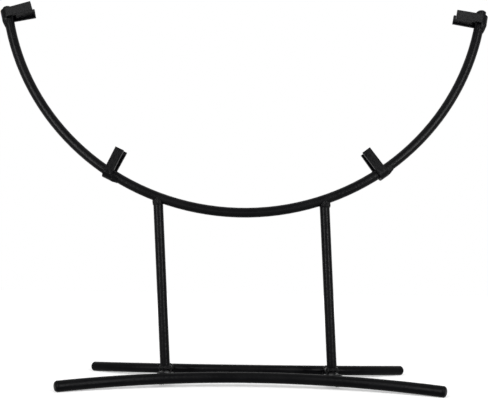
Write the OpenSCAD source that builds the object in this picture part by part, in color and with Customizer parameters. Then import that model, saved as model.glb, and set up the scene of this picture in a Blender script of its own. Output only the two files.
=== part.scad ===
// Round display stand: a bent rod cradle with four clips, on two posts and two bowed foot bars.
// +Z is up, +Y is the back, and the origin is on the floor under the middle of the cradle.

/* [Cradle] */
// Radius of the cradle arc, to the middle of its rod
cradle_r = 237.5; // [160:0.5:320]
// Diameter of the cradle rod
cradle_d = 9.5; // [7:0.1:13]
// Height of the lowest point of the cradle above the floor, to the middle of its rod
cradle_z = 164; // [110:1:240]
// How far the cradle leans back from upright, in degrees
cradle_lean = 5.4; // [0:0.1:12]
// Angle from the bottom of the cradle to its left end
left_end = 81.7; // [70:0.1:88]
// Angle from the bottom of the cradle to its right end
right_end = 82.3; // [70:0.1:88]
// Chamfer on the cradle rod's cut ends
cradle_chamfer = 1; // [0.3:0.1:2.5]

/* [Clips] */
// Width of the clip strip, along the cradle rod
clip_w = 8.8; // [5:0.1:14]
// Thickness of the clip strip
clip_t = 2; // [1:0.1:3.5]
// How far the prongs reach past the cradle rod, towards the middle
clip_reach = 20.4; // [10:0.1:40]
// Play between the cradle rod and each prong, so the free slot is this much wider on each side
clip_play = 0.15; // [0.15:0.05:1]
// Angle from the bottom of the cradle to the upper left clip
upper_left_at = 79.8; // [66:0.1:81]
// Angle from the bottom of the cradle to the lower left clip
lower_left_at = 32.8; // [26:0.1:50]
// Angle from the bottom of the cradle to the lower right clip
lower_right_at = 34.5; // [26:0.1:50]
// Angle from the bottom of the cradle to the upper right clip
upper_right_at = 79.9; // [66:0.1:81.5]
// Anticlockwise turn of the upper left clip from radial, as it was welded
upper_left_turn = 4; // [-10:0.1:10]
// Anticlockwise turn of the lower left clip from radial, as it was welded
lower_left_turn = 7.1; // [-10:0.1:10]
// Anticlockwise turn of the lower right clip from radial, as it was welded
lower_right_turn = 1.5; // [-10:0.1:10]
// Anticlockwise turn of the upper right clip from radial, as it was welded
upper_right_turn = 0.5; // [-10:0.1:10]
// How much further the upper left clip's front prong is turned than its back prong
upper_left_splay = 5.2; // [0:0.1:10]
// How much further the lower left clip's front prong is turned than its back prong
lower_left_splay = 1.4; // [0:0.1:10]
// How much further the lower right clip's front prong is turned than its back prong
lower_right_splay = 2.2; // [0:0.1:10]
// How much further the upper right clip's front prong is turned than its back prong
upper_right_splay = 1; // [0:0.1:10]
// How much longer the lower left clip's back prong is than its front prong
lower_left_skew = 1.6; // [0:0.1:6]

/* [Posts] */
// Diameter of the two posts
post_d = 9.5; // [7:0.1:13]
// Distance between the posts
post_spacing = 161; // [110:1:210]
// How far the posts' tops sit to the right of the cradle's middle
head_shift = -0.6; // [-10:0.1:10]
// How far the base stands to the right of the cradle's middle, which the posts lean across
base_shift = 9.2; // [-20:0.1:20]

/* [Base] */
// Diameter of the two foot bars
foot_d = 10; // [7:0.1:14]
// Straight distance between the ends of a foot bar
foot_span = 333; // [230:1:420]
// How far the ends of a foot bar stand out from its middle
foot_bow = 49; // [20:0.5:80]
// How far the middle of a foot bar is raised above its ends
foot_rise = 4; // [1:0.1:12]
// Distance between the middles of the two foot bars
foot_gap = 65; // [40:1:100]
// Rounding of the foot bars' ends
foot_round = 3; // [0.5:0.1:3.4]
// Diameter of the two crossbars that carry the posts
cross_d = 9.5; // [7:0.1:13]

/* [Welds] */
// Gap left between two rods where they are welded together
weld_gap = 0.1; // [0.05:0.05:0.3]
// How far a weld bead stands out from the rods that it joins
weld_bulge = 1.3; // [0.8:0.1:3]
// Length of the weld beside a clip, along the cradle rod
clip_weld_len = 8; // [4:0.5:12]

/* [Hidden] */
$fn = 120;
sweep_fn = 720;

steel_black = [0.09, 0.09, 0.1];
weld_grey = [0.16, 0.16, 0.17];

// How far past its ends a bent rod goes before its ends are cut, in degrees
cradle_past = cradle_d / cradle_r * 180 / PI;

// Clip: the slot between the prongs stops a little outside the cradle rod's middle, and the rest
// of the bend follows the rod.
clip_slot = cradle_d + 2 * clip_play;
clip_out_r = clip_slot / 2 + clip_t;
clip_len = cradle_d / 2 + clip_reach;
clip_floor = 0.1 * cradle_d;
clip_seat_r = cradle_d / 2 + weld_gap;

// Clip weld: level with the strip at the clip, and almost down to the rod at its far end
clip_weld_start_r = clip_out_r - weld_gap;
clip_weld_end_r = clip_seat_r + weld_gap;
clip_weld_taper = (clip_weld_start_r - clip_weld_end_r) / clip_weld_len;
clip_weld_under = clip_w / 4;

// Foot bar: an arc in a plane that tips down towards the bar's ends. It stands on the shoulders
// where the rounding of its ends meets its side.
foot_sag = norm([foot_bow, foot_rise]);
foot_half = foot_span / 2;
foot_r = (foot_half * foot_half + foot_sag * foot_sag) / (2 * foot_sag);
foot_sweep = asin(foot_half / foot_r);
foot_past = foot_d / foot_r * 180 / PI;
foot_tip = atan2(foot_rise, foot_bow);
foot_slope = sin(foot_sweep) * sin(foot_tip);
shoulder_turn = 75;
shoulder_back = foot_round * (1 - cos(shoulder_turn));
foot_low = foot_d / 2 * sqrt(1 - foot_slope * foot_slope) - shoulder_back * foot_slope;
foot_mid_z = foot_low + foot_rise;

// Where a foot bar's middle line is, x from its middle
function foot_drop(x) = foot_r - sqrt(foot_r * foot_r - x * x);
function foot_y(x) = foot_gap / 2 + foot_drop(x) * cos(foot_tip);
function foot_z(x) = foot_mid_z - foot_drop(x) * sin(foot_tip);

// Posts and crossbars
post_x = post_spacing / 2;
cross_z = foot_z(post_x);
cross_half = foot_y(post_x);

// How far the cradle has climbed above its lowest point, x from its middle
function cradle_climb(x) = cradle_r - sqrt(cradle_r * cradle_r - x * x);

// Ends of a post's middle line, side is -1 for the left and 1 for the right
function post_foot(side) = [side * post_x + base_shift, 0, cross_z];
function post_head(side) =
    let(x = side * post_x + head_shift)
        [x, cradle_climb(x) * sin(cradle_lean), cradle_z + cradle_climb(x) * cos(cradle_lean)];

// Places its children in the leaning plane of the cradle, with the arc's centre at the origin
module in_cradle() {
    translate([0, 0, cradle_z])
        rotate([-cradle_lean, 0, 0])
            translate([0, 0, cradle_r])
                children();
}

// Places its children on the cradle rod: X along the rod to the right, Z towards the arc's centre
module on_cradle(angle) {
    in_cradle()
        rotate([0, -angle, 0])
            translate([0, 0, -cradle_r])
                children();
}

// The cradle's bent rod, before its ends are cut
module cradle_sweep(radius) {
    in_cradle()
        rotate([90, 0, 0])
            rotate([0, 0, -90 - left_end - cradle_past])
                rotate_extrude(angle = left_end + right_end + 2 * cradle_past, $fn = sweep_fn)
                    translate([cradle_r, 0])
                        circle(r = radius);
}

// What is cut off past a rod's chamfered end, which is at the XY plane
module end_cut(diameter, chamfer) {
    rotate_extrude()
        polygon([
            [0, 0],
            [diameter / 2 - chamfer, 0],
            [diameter / 2 + chamfer, -2 * chamfer],
            [diameter, -2 * chamfer],
            [diameter, 2 * diameter],
            [0, 2 * diameter]
        ]);
}

// What is cut off past a rod's rounded end, whose flat is at the XY plane
module round_cut(diameter, rounding) {
    flat_r = diameter / 2 - rounding * sin(shoulder_turn);
    rotate_extrude()
        difference() {
            translate([0, -rounding])
                square([diameter, rounding + 2 * diameter]);
            translate([0, -2 * rounding])
                square([flat_r, 2 * rounding]);
            translate([flat_r, -rounding])
                circle(r = rounding);
        }
}

// Places its children at one point, with Z towards the other
module aim(from_point, to_point) {
    way = to_point - from_point;
    translate(from_point)
        rotate([0, acos(way[2] / norm(way)), atan2(way[1], way[0])])
            children();
}

// Round stock between two points
module stock(from_point, to_point, radius) {
    aim(from_point, to_point)
        cylinder(r = radius, h = norm(to_point - from_point));
}

// Cradle

module cradle_rod() {
    color(steel_black)
        difference() {
            cradle_sweep(cradle_d / 2);
            on_cradle(right_end)
                rotate([0, 90, 0])
                    end_cut(cradle_d, cradle_chamfer);
            on_cradle(-left_end)
                rotate([0, -90, 0])
                    end_cut(cradle_d, cradle_chamfer);
        }
}

// Clips: a strip bent round the rod from outside, with two prongs towards the middle

// Turns its children anticlockwise, as seen from the front, about the cradle rod's middle
module turned(turn) {
    rotate([0, -turn, 0])
        children();
}

module clip_bend() {
    rotate([90, 0, 90])
        linear_extrude(height = clip_w, center = true)
            difference() {
                circle(r = clip_out_r);
                translate([-clip_out_r, 0])
                    square([2 * clip_out_r, clip_out_r]);
                translate([-clip_slot / 2, -clip_floor])
                    square([clip_slot, clip_out_r]);
            }
}

// depth is -1 for the front prong and 1 for the back one
module clip_prong(depth, turn, skew) {
    tip = (clip_len + depth * skew / 2) * [-sin(turn), cos(turn)];
    across = clip_w / 2 * [cos(turn), sin(turn)];
    translate([0, (depth * (clip_slot + clip_t) + clip_t) / 2, 0])
        rotate([90, 0, 0])
            linear_extrude(height = clip_t)
                polygon([[-clip_w / 2, 0], [clip_w / 2, 0], tip + across, tip - across]);
}

module clip(angle, turn, splay, skew = 0) {
    color(steel_black)
        difference() {
            on_cradle(angle)
                turned(turn)
                    union() {
                        clip_bend();
                        clip_prong(-1, splay / 2, skew);
                        clip_prong(1, -splay / 2, skew);
                    }
            cradle_sweep(clip_seat_r);
        }
}

module clip_upper_left() clip(-upper_left_at, upper_left_turn, upper_left_splay);
module clip_lower_left() clip(-lower_left_at, lower_left_turn, lower_left_splay, lower_left_skew);
module clip_lower_right() clip(lower_right_at, lower_right_turn, lower_right_splay);
module clip_upper_right() clip(upper_right_at, upper_right_turn, upper_right_splay);

// Weld beside a clip, tapering along the outer side of the rod, with the clip's own space cut
// away. side is -1 to the left along the rod and 1 to the right.
module clip_weld(angle, turn, side) {
    middle = angle + side * (clip_w + clip_weld_len) / 2 / cradle_r * 180 / PI;
    color(weld_grey)
        difference() {
            on_cradle(middle)
                translate([-side * (clip_weld_len / 2 + clip_weld_under), 0, 0])
                    rotate([0, side * 90, 0])
                        cylinder(
                            h = clip_weld_len + clip_weld_under,
                            r1 = clip_weld_start_r + clip_weld_taper * clip_weld_under,
                            r2 = clip_weld_end_r
                        );
            cradle_sweep(clip_seat_r);
            on_cradle(angle)
                translate([-cradle_r / 2, -cradle_r / 2, 0])
                    cube([cradle_r, cradle_r, cradle_r]);
            on_cradle(angle)
                turned(turn)
                    translate([0, 0, -clip_len])
                        cube([clip_w + 2 * weld_gap, 2 * clip_len, 2 * clip_len], center = true);
        }
}

module clip_weld_upper_left() clip_weld(-upper_left_at, upper_left_turn, 1);
module clip_weld_lower_left() clip_weld(-lower_left_at, lower_left_turn, 1);
module clip_weld_lower_right() clip_weld(lower_right_at, lower_right_turn, 1);
module clip_weld_upper_right() clip_weld(upper_right_at, upper_right_turn, -1);

// Base

// Places its children at the middle of the front foot bar's arc
module on_foot() {
    translate([base_shift, -foot_gap / 2, foot_mid_z])
        rotate([foot_tip, 0, 0])
            translate([0, -foot_r, 0])
                children();
}

// The front foot bar, before its ends are cut
module foot_sweep_bar(radius) {
    on_foot()
        rotate([0, 0, 90 - foot_sweep - foot_past])
            rotate_extrude(angle = 2 * (foot_sweep + foot_past), $fn = sweep_fn)
                translate([foot_r, 0])
                    circle(r = radius);
}

// turn is -1 for the right end and 1 for the left one
module foot_end_cut(turn) {
    on_foot()
        rotate([0, 0, turn * foot_sweep])
            translate([0, foot_r, 0])
                rotate([0, -turn * 90, 0])
                    round_cut(foot_d, foot_round);
}

module foot_bar() {
    color(steel_black)
        difference() {
            foot_sweep_bar(foot_d / 2);
            foot_end_cut(-1);
            foot_end_cut(1);
        }
}

module foot_bar_front() foot_bar();
module foot_bar_back() mirror([0, 1, 0]) foot_bar();

// The room of a foot bar and its welding gap. depth is -1 for the front bar and 1 for the back one.
module foot_room(depth) {
    mirror([0, (1 + depth) / 2, 0])
        foot_sweep_bar(foot_d / 2 + weld_gap);
}

module crossbar_stock(side, radius) {
    foot = post_foot(side);
    stock(foot - [0, cross_half, 0], foot + [0, cross_half, 0], radius);
}

module crossbar(side) {
    color(steel_black)
        difference() {
            crossbar_stock(side, cross_d / 2);
            foot_room(-1);
            foot_room(1);
        }
}

module crossbar_left() crossbar(-1);
module crossbar_right() crossbar(1);

// Posts, coped to the crossbar below and to the cradle rod above

module post(side) {
    color(steel_black)
        difference() {
            stock(post_foot(side), post_head(side), post_d / 2);
            crossbar_stock(side, cross_d / 2 + weld_gap);
            cradle_sweep(clip_seat_r);
        }
}

module post_left() post(-1);
module post_right() post(1);

// Ring of weld round a rod, centred where it meets another rod's surface
module weld_ring(diameter) {
    ring_r = diameter / 2 + weld_bulge;
    rotate_extrude()
        difference() {
            circle(r = ring_r);
            translate([-2 * ring_r, -ring_r])
                square([2 * ring_r + diameter / 2 + weld_gap, 2 * ring_r]);
        }
}

module post_top_weld(side) {
    color(weld_grey)
        difference() {
            aim(post_head(side), post_foot(side))
                translate([0, 0, cradle_d / 2])
                    weld_ring(post_d);
            cradle_sweep(clip_seat_r);
        }
}

module post_base_weld(side) {
    color(weld_grey)
        difference() {
            aim(post_foot(side), post_head(side))
                translate([0, 0, cross_d / 2])
                    weld_ring(post_d);
            crossbar_stock(side, cross_d / 2 + weld_gap);
        }
}

module post_top_weld_left() post_top_weld(-1);
module post_top_weld_right() post_top_weld(1);
module post_base_weld_left() post_base_weld(-1);
module post_base_weld_right() post_base_weld(1);

// Kept above the floor. depth is -1 at the front foot bar and 1 at the back one.
module crossbar_weld(side, depth) {
    color(weld_grey)
        difference() {
            translate(post_foot(side) + [0, depth * (cross_half - foot_d / 2), 0])
                rotate([90, 0, 0])
                    weld_ring(cross_d);
            foot_room(depth);
            translate([-foot_span, -foot_span, -foot_span])
                cube([2 * foot_span, 2 * foot_span, foot_span]);
        }
}

module crossbar_weld_front_left() crossbar_weld(-1, -1);
module crossbar_weld_back_left() crossbar_weld(-1, 1);
module crossbar_weld_front_right() crossbar_weld(1, -1);
module crossbar_weld_back_right() crossbar_weld(1, 1);

cradle_rod();
clip_upper_left();
clip_lower_left();
clip_lower_right();
clip_upper_right();
clip_weld_upper_left();
clip_weld_lower_left();
clip_weld_lower_right();
clip_weld_upper_right();
post_left();
post_right();
post_top_weld_left();
post_top_weld_right();
post_base_weld_left();
post_base_weld_right();
crossbar_left();
crossbar_right();
crossbar_weld_front_left();
crossbar_weld_back_left();
crossbar_weld_front_right();
crossbar_weld_back_right();
foot_bar_front();
foot_bar_back();
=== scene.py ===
"""Looks of the round display stand: a powder-coated rod frame on a white floor.

The rods, posts, feet and clips are the CAD solids with a satin powder coat. Each CAD weld is
replaced by the same bead with the ripples of a weld run, its toes sunk into the rods beside it.
All lengths are in metres.
"""
import math

import bpy
import numpy as np
from mathutils import Matrix, Vector, noise
from mathutils.bvhtree import BVHTree


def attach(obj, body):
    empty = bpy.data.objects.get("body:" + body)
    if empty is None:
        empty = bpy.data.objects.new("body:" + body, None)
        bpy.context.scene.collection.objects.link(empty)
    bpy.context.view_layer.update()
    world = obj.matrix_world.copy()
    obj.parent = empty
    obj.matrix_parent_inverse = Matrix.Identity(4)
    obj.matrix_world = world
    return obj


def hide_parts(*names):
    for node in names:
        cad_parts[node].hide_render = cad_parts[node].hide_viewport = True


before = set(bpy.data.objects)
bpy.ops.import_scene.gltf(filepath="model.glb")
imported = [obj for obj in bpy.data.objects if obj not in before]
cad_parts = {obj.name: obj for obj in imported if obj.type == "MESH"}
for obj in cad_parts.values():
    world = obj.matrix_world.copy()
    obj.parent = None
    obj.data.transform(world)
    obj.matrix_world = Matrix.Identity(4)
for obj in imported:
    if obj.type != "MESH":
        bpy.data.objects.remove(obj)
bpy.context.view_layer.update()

MM = 0.001

# --- Powder coat ----------------------------------------------------------------------------
COAT_COLOUR = (0.0006, 0.0006, 0.0009)
COAT_FADED = (0.0016, 0.0016, 0.0019)    # in patches, where the coat is thin
BARE_EDGE = (0.026, 0.026, 0.0275)       # on edges, where it is rubbed
DUST_COLOUR = (0.014, 0.0137, 0.0130)

# Specular level and roughness of the coat on each kind of rod or clip, by the first word of its
# name, and on the weld beads: each batch took the coat its own way, and the foot bars are a little
# more matt.
COAT_FINISH = {"cradle": (0.062, 0.25), "clip": (0.047, 0.25), "post": (0.054, 0.25),
               "crossbar": (0.047, 0.25), "foot": (0.042, 0.34), "weld": (0.050, 0.22)}
SMOOTHER, ROUGHER = 0.05, 0.06           # how far the roughness strays from patch to patch
DUST_ROUGHNESS = 0.2                     # added where the dust lies thickest

PEEL_SCALE = 430.0                       # lumps of orange peel in a metre
PEEL_DEPTH = 0.38 * MM
PEEL_STRENGTH = 0.6
BEAD_PEEL = 0.6                          # share of the orange peel that shows on a weld
GRAIN_SCALE = 3600.0                     # fine grain on top of the orange peel
GRAIN_DEPTH = 0.03 * MM
GRAIN_STRENGTH = 0.5
PATCH_SCALE = 42.0
PATCH_FADES = (0.40, 0.66)               # noise levels of full and of faded colour
PATCH_ROUGHENS = (0.3, 0.7)
WEAR_REACH = 0.5 * MM                    # how far from an edge the coat is rubbed
WEAR_BENDS = (0.97, 0.80)                # cosine of the edge's bend where rubbing starts, is full
SPECK_SCALE = 1500.0
SPECK_LEVELS = (0.52, 0.72)
DUST_SLOPES = (0.45, 1.0)                # how far up a face looks where dust starts, is thickest
DUST_COVER = 0.5                         # how much of the coat the thickest dust hides

# --- Weld beads -----------------------------------------------------------------------------
BEAD_GRAIN = 0.30 * MM                   # mesh size
BEAD_SMOOTHING, SMOOTHING_TIMES = 0.5, 3
BEAD_PITCH = 1.5 * MM                    # from one ripple to the next
BEAD_RIPPLE = 0.22 * MM                  # how far a ripple's crest stands over its middle
RIPPLE_SINK = 0.4                        # share of that by which all ripples are set in
RIPPLE_WANDER = 0.35                     # share of the pitch by which ripples stray at most
WANDER_LENGTH = 4 * MM
BEAD_LUMPS = 0.30 * MM                   # slow unevenness along a bead
LUMP_LENGTH = 2.6 * MM
LUMP_START = Vector((7, 3, 5))           # keeps the lumps from following the wander
TOE_REACH = 0.45 * MM                    # a bead's skin this near to the steel sinks into it
TOE_DEPTH = 0.25 * MM
TOE_PULL = 1.6                           # above 1, the skin is sunk before it touches the steel
RIPPLE_START = 0.6 * TOE_REACH           # distance from the steel where ripples begin
RIPPLE_FADE = 0.8 * MM                   # distance over which they grow to full height
TOP_BEAD_SLIM = 0.40                     # the fillets under the arc are thinner than the CAD's

# --- Light and camera -----------------------------------------------------------------------
LIGHT_AWAY = 1.4
PAIR_AIM = (0, 0, 0.18)
# Softboxes on both sides: degrees round from the front, how high, width, height, watts
PAIRED_LIGHTS = {"side": (38.5, 0.40, 0.32, 0.80, 13.8),
                 "front": (23.0, 0.80, 0.42, 0.50, 2.6),
                 "high": (29.0, 1.20, 0.36, 0.45, 4.8)}
LOW_PLACE, LOW_AIM = (0, -LIGHT_AWAY, 0.14), (0, 0, 0.1)
LOW_WIDE, LOW_TALL, LOW_WATTS = 0.7, 0.24, 1.0
OVER_PLACE, OVER_AIM = (0, 0.1, 1.5), (0, 0, 0)
OVER_WIDE, OVER_DEEP, OVER_WATTS = 1.2, 0.4, 1.2
AMBIENT = 0.27                           # the world's light on the object

FLOOR_SIZE = 40.0
PAPER = (0.85, 0.85, 0.85)
GLOW_CENTRE = (0.0, -0.4, 0.0)           # where the lamps light the floor most
GLOW_NEAR, GLOW_FAR = 0.28, 1.0          # the floor's own glow there and far away
GLOW_FROM, GLOW_TO = 0.3, 2.2            # how far from there it starts to grow, and is full

CAMERA_PLACE = Vector((-0.0038, -0.6758, 0.0881))
CAMERA_ROLL = math.radians(0.81)         # the stand leans clockwise in the picture
CAMERA_LENS, CAMERA_SENSOR = 51.64, 36.0    # focal length and width in mm
CAMERA_SHIFT = (0.0154, 0.187)


# --- Materials ------------------------------------------------------------------------------
class Graph:
    """Short names for building the node tree of a material or world."""

    def __init__(self, owner):
        owner.use_nodes = True
        self.nodes, self.links = owner.node_tree.nodes, owner.node_tree.links
        self.nodes.clear()

    def put(self, value, socket):
        """Link value to the socket if it is a socket too, or else set it there."""
        if isinstance(value, bpy.types.NodeSocket):
            self.links.new(value, socket)
        else:
            socket.default_value = value

    def node(self, kind, inputs=None, **settings):
        made = self.nodes.new(kind)
        for key, value in settings.items():
            setattr(made, key, value)
        for key, value in (inputs or {}).items():
            self.put(value, made.inputs[key])
        return made

    def noise(self, place, scale, detail=2.0, roughness=0.5, distortion=0.0):
        return self.node("ShaderNodeTexNoise", {
            "Vector": place, "Scale": scale, "Detail": detail,
            "Roughness": roughness, "Distortion": distortion}).outputs["Fac"]

    def remap(self, value, from_range, to_range=(0.0, 1.0)):
        return self.node("ShaderNodeMapRange", {
            "Value": value, "From Min": from_range[0], "From Max": from_range[1],
            "To Min": to_range[0], "To Max": to_range[1]}).outputs["Result"]

    def blend(self, fac, first, second):
        made = self.node("ShaderNodeMix", data_type="RGBA")
        for value, socket in zip((fac, first, second),
                                 (made.inputs[0], made.inputs[6], made.inputs[7])):
            self.put(value, socket)
        return made.outputs[2]

    def maths(self, operation, first, second):
        return self.node("ShaderNodeMath", {0: first, 1: second}, operation=operation).outputs[0]

    def vector_maths(self, operation, first, second):
        return self.node("ShaderNodeVectorMath", {0: first, 1: second},
                         operation=operation).outputs["Value"]

    def bump(self, height, distance, strength, normal):
        return self.node("ShaderNodeBump", {
            "Height": height, "Distance": distance, "Strength": strength,
            "Normal": normal}).outputs["Normal"]


def rgba(colour):
    return (*colour, 1.0)


def powder_coat(kind, peel_depth):
    """Satin black powder coat: orange peel, a fine grain, thin patches, dust and rubbed edges."""
    gloss, roughness = COAT_FINISH[kind]
    material = bpy.data.materials.new(f"powder_coat_{kind}")
    g = Graph(material)
    place = g.node("ShaderNodeTexCoord").outputs["Object"]
    facing = g.node("ShaderNodeNewGeometry").outputs["Normal"]
    up = g.node("ShaderNodeSeparateXYZ", {0: facing}).outputs["Z"]
    rounded = g.node("ShaderNodeBevel", {"Radius": WEAR_REACH}, samples=6).outputs["Normal"]

    peel = g.noise(place, PEEL_SCALE)
    grain = g.noise(place, GRAIN_SCALE, roughness=0.6)
    patches = g.noise(place, PATCH_SCALE, detail=3.0, distortion=0.4)
    specks = g.noise(place, SPECK_SCALE, detail=1.0)

    rubbed = g.remap(g.vector_maths("DOT_PRODUCT", rounded, facing), WEAR_BENDS)
    settled = g.maths("MULTIPLY", g.remap(up, DUST_SLOPES, (0.0, DUST_COVER)),
                      g.remap(specks, SPECK_LEVELS))
    colour = g.blend(g.remap(patches, PATCH_FADES), rgba(COAT_COLOUR), rgba(COAT_FADED))
    colour = g.blend(g.maths("MULTIPLY", rubbed, patches), colour, rgba(BARE_EDGE))
    colour = g.blend(settled, colour, rgba(DUST_COLOUR))

    rough = g.remap(patches, PATCH_ROUGHENS, (roughness - SMOOTHER, roughness + ROUGHER))
    rough = g.maths("ADD", rough, g.remap(settled, (0.0, DUST_COVER), (0.0, DUST_ROUGHNESS)))
    normal = g.bump(peel, peel_depth, PEEL_STRENGTH, rounded)
    normal = g.bump(grain, GRAIN_DEPTH, GRAIN_STRENGTH, normal)
    shader = g.node("ShaderNodeBsdfPrincipled", {
        "Base Color": colour, "Roughness": rough, "Specular IOR Level": gloss,
        "Normal": normal})
    g.node("ShaderNodeOutputMaterial", {"Surface": shader.outputs[0]})
    return material


def wear(piece, material):
    piece.data.materials.clear()
    piece.data.materials.append(material)


# --- The CAD pieces -------------------------------------------------------------------------
coats = {kind: powder_coat(kind, PEEL_DEPTH) for kind in COAT_FINISH if kind != "weld"}
bead_coat = powder_coat("weld", BEAD_PEEL * PEEL_DEPTH)
welds = {name: piece for name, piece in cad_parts.items() if "weld" in name}
steel = {name: piece for name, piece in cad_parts.items() if "weld" not in name}
for name, piece in steel.items():
    wear(piece, coats[name.split("_")[0]])


# --- Weld beads -----------------------------------------------------------------------------
def points(mesh):
    flat = np.empty(len(mesh.vertices) * 3)
    mesh.vertices.foreach_get("co", flat)
    return flat.reshape(-1, 3)


def long_axis(mesh):
    """(middle, unit direction) of a straight rod or of a bead: where its points spread most."""
    places = points(mesh)
    middle = (places.min(0) + places.max(0)) / 2
    return middle, np.linalg.svd(places - places.mean(0), full_matrices=False)[2][0]


def off_axis(mesh, middle, along):
    """Each point's offset from the line through middle, square to it, and its length."""
    away = points(mesh) - middle
    away -= np.outer(away @ along, along)
    return away, np.linalg.norm(away, axis=1, keepdims=True)


def remeshed(piece, name):
    """A copy of the CAD solid as one even, closed mesh fine enough for ripples."""
    copy = bpy.data.objects.new(name, piece.data.copy())
    bpy.context.scene.collection.objects.link(copy)
    even = copy.modifiers.new("even", "REMESH")
    even.mode, even.voxel_size, even.use_smooth_shade = "VOXEL", BEAD_GRAIN, True
    soft = copy.modifiers.new("soft", "SMOOTH")
    soft.factor, soft.iterations = BEAD_SMOOTHING, SMOOTHING_TIMES
    result = bpy.data.meshes.new_from_object(copy.evaluated_get(
        bpy.context.evaluated_depsgraph_get()))
    copy.modifiers.clear()
    copy.data = result
    return copy


def nearest_steel(place, skins):
    """(how far the place is outside the nearest skin, the point just inside it)."""
    found = []
    for skin in skins:
        near, outward, _, distance = skin.find_nearest(place)
        gap = distance if (place - near) @ outward > 0 else -distance
        found.append((gap, near - outward * TOE_DEPTH))
    return min(found, key=lambda gap_and_toe: gap_and_toe[0])


def ripple_height(place, run):
    """How far a bead stands out at place, which is run metres along its weld."""
    wander = noise.noise(place / WANDER_LENGTH) * RIPPLE_WANDER * BEAD_PITCH
    ripple = math.cos(2 * math.pi * (run + wander) / BEAD_PITCH)
    lump = noise.noise(place / LUMP_LENGTH + LUMP_START)
    return BEAD_RIPPLE * (ripple - RIPPLE_SINK) + BEAD_LUMPS * lump


def bead(node, joined, round_rod=None, slim=1.0):
    """The weld's bead, rippled along its run: round round_rod if there is one, else lengthwise.

    slim is the share of its height over round_rod that the bead keeps.
    """
    piece = remeshed(welds[node], node.replace("weld", "bead"))
    mesh = piece.data
    depsgraph = bpy.context.evaluated_depsgraph_get()
    skins = [BVHTree.FromObject(steel[rod], depsgraph) for rod in joined]
    middle, along = long_axis(steel[round_rod].data if round_rod else mesh)
    side = Vector(along).orthogonal().normalized()
    other = Vector(along).cross(side)
    if round_rod:
        away, far = off_axis(mesh, middle, along)
        rod_radius = off_axis(steel[round_rod].data, middle, along)[1].max()
        drawn_in = away / far * np.maximum(far - rod_radius, 0) * (slim - 1)
        mesh.vertices.foreach_set("co", (points(mesh) + drawn_in).ravel())
        mesh.update()
        radius = far.mean()

    normals = [vertex.normal.copy() for vertex in mesh.vertices]
    for vertex, normal in zip(mesh.vertices, normals):
        place = vertex.co - Vector(middle)
        run = (math.atan2(place @ other, place @ side) * radius if round_rod
               else place @ Vector(along))
        height = ripple_height(vertex.co, run)
        gap, toe = nearest_steel(vertex.co, skins)
        if gap < TOE_REACH:
            vertex.co = vertex.co.lerp(toe, min(1.0, TOE_PULL * (1 - max(gap, 0) / TOE_REACH)))
        vertex.co += normal * max(0.0, min(1.0, (gap - RIPPLE_START) / RIPPLE_FADE)) * height
    wear(piece, bead_coat)
    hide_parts(node)
    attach(piece, "root")


for side_name in ("left", "right"):
    post, crossbar = f"post_{side_name}", f"crossbar_{side_name}"
    bead(f"post_top_weld_{side_name}", (post, "cradle_rod"), round_rod=post, slim=TOP_BEAD_SLIM)
    bead(f"post_base_weld_{side_name}", (post, crossbar), round_rod=post)
    for end in ("front", "back"):
        bead(f"crossbar_weld_{end}_{side_name}", (crossbar, f"foot_bar_{end}"),
             round_rod=crossbar)
    for level in ("upper", "lower"):
        bead(f"clip_weld_{level}_{side_name}", ("cradle_rod", f"clip_{level}_{side_name}"))


# --- Floor and world ------------------------------------------------------------------------
def seen_or_mirrored(g):
    """1 for rays from the camera and for rays that a gloss or a glass sends on."""
    path = g.node("ShaderNodeLightPath").outputs
    seen = g.maths("MAXIMUM", path["Is Camera Ray"], path["Is Glossy Ray"])
    return g.maths("MAXIMUM", seen, path["Is Transmission Ray"])


def white_floor():
    """White paper: it glows more with distance, so that it clips to white and keeps the shadow."""
    material = bpy.data.materials.new("white_floor")
    g = Graph(material)
    place = g.node("ShaderNodeTexCoord").outputs["Object"]
    away = g.vector_maths("DISTANCE", place, GLOW_CENTRE)
    glow = g.remap(away, (GLOW_FROM, GLOW_TO), (GLOW_NEAR, GLOW_FAR))
    paper = g.node("ShaderNodeBsdfDiffuse", {"Color": rgba(PAPER)})
    light = g.node("ShaderNodeEmission", {
        "Strength": g.maths("MULTIPLY", seen_or_mirrored(g), glow)})
    both = g.node("ShaderNodeAddShader", {0: paper.outputs[0], 1: light.outputs[0]})
    g.node("ShaderNodeOutputMaterial", {"Surface": both.outputs[0]})
    return material


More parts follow.
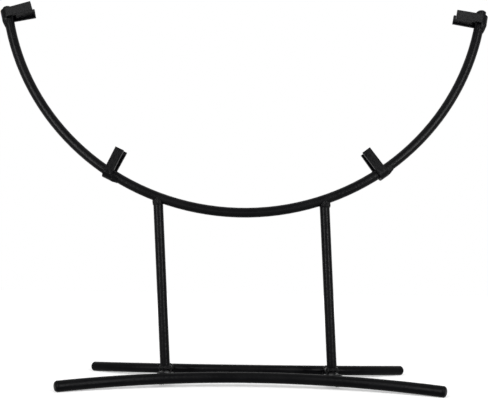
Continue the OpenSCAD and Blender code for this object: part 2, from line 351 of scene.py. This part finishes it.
def white_studio():
    """A world that is white to look at and lights the object at the level AMBIENT."""
    world = bpy.data.worlds.new("white_studio")
    g = Graph(world)
    level = g.remap(seen_or_mirrored(g), (0.0, 1.0), (AMBIENT, 1.0))
    sky = g.node("ShaderNodeBackground", {"Color": (1, 1, 1, 1), "Strength": level})
    g.node("ShaderNodeOutputWorld", {"Surface": sky.outputs[0]})
    return world


bpy.ops.mesh.primitive_plane_add(size=FLOOR_SIZE, location=(0, 0, 0))
floor = bpy.context.object
floor.name = "floor"
wear(floor, white_floor())
bpy.context.scene.world = white_studio()


# --- Lamps ----------------------------------------------------------------------------------
def softbox(name, place, aim, width, height, watts):
    lamp = bpy.data.lights.new(name, "AREA")
    lamp.shape, lamp.size, lamp.size_y, lamp.energy = "RECTANGLE", width, height, watts
    box = bpy.data.objects.new(name, lamp)
    box.location = place
    box.rotation_euler = (Vector(aim) - Vector(place)).to_track_quat("-Z", "Y").to_euler()
    bpy.context.scene.collection.objects.link(box)


for hand, side_name in ((-1, "left"), (1, "right")):
    for name, (degrees, up, wide, tall, watts) in PAIRED_LIGHTS.items():
        turn = math.radians(degrees)
        place = (hand * LIGHT_AWAY * math.sin(turn), -LIGHT_AWAY * math.cos(turn), up)
        softbox(f"{name}_{side_name}", place, PAIR_AIM, wide, tall, watts)
softbox("low_front", LOW_PLACE, LOW_AIM, LOW_WIDE, LOW_TALL, LOW_WATTS)
softbox("overhead", OVER_PLACE, OVER_AIM, OVER_WIDE, OVER_DEEP, OVER_WATTS)


# --- Camera ---------------------------------------------------------------------------------
lens = bpy.data.cameras.new("camera")
lens.lens, lens.sensor_width = CAMERA_LENS, CAMERA_SENSOR
lens.shift_x, lens.shift_y = CAMERA_SHIFT
camera = bpy.data.objects.new("camera", lens)
right = Vector((math.cos(CAMERA_ROLL), 0, math.sin(CAMERA_ROLL)))
upward = Vector((-math.sin(CAMERA_ROLL), 0, math.cos(CAMERA_ROLL)))
camera.matrix_world = Matrix.Translation(CAMERA_PLACE) @ Matrix(
    (right, upward, right.cross(upward))).transposed().to_4x4()
bpy.context.scene.collection.objects.link(camera)
bpy.context.scene.camera = camera

bpy.context.scene.view_settings.view_transform = "Standard"
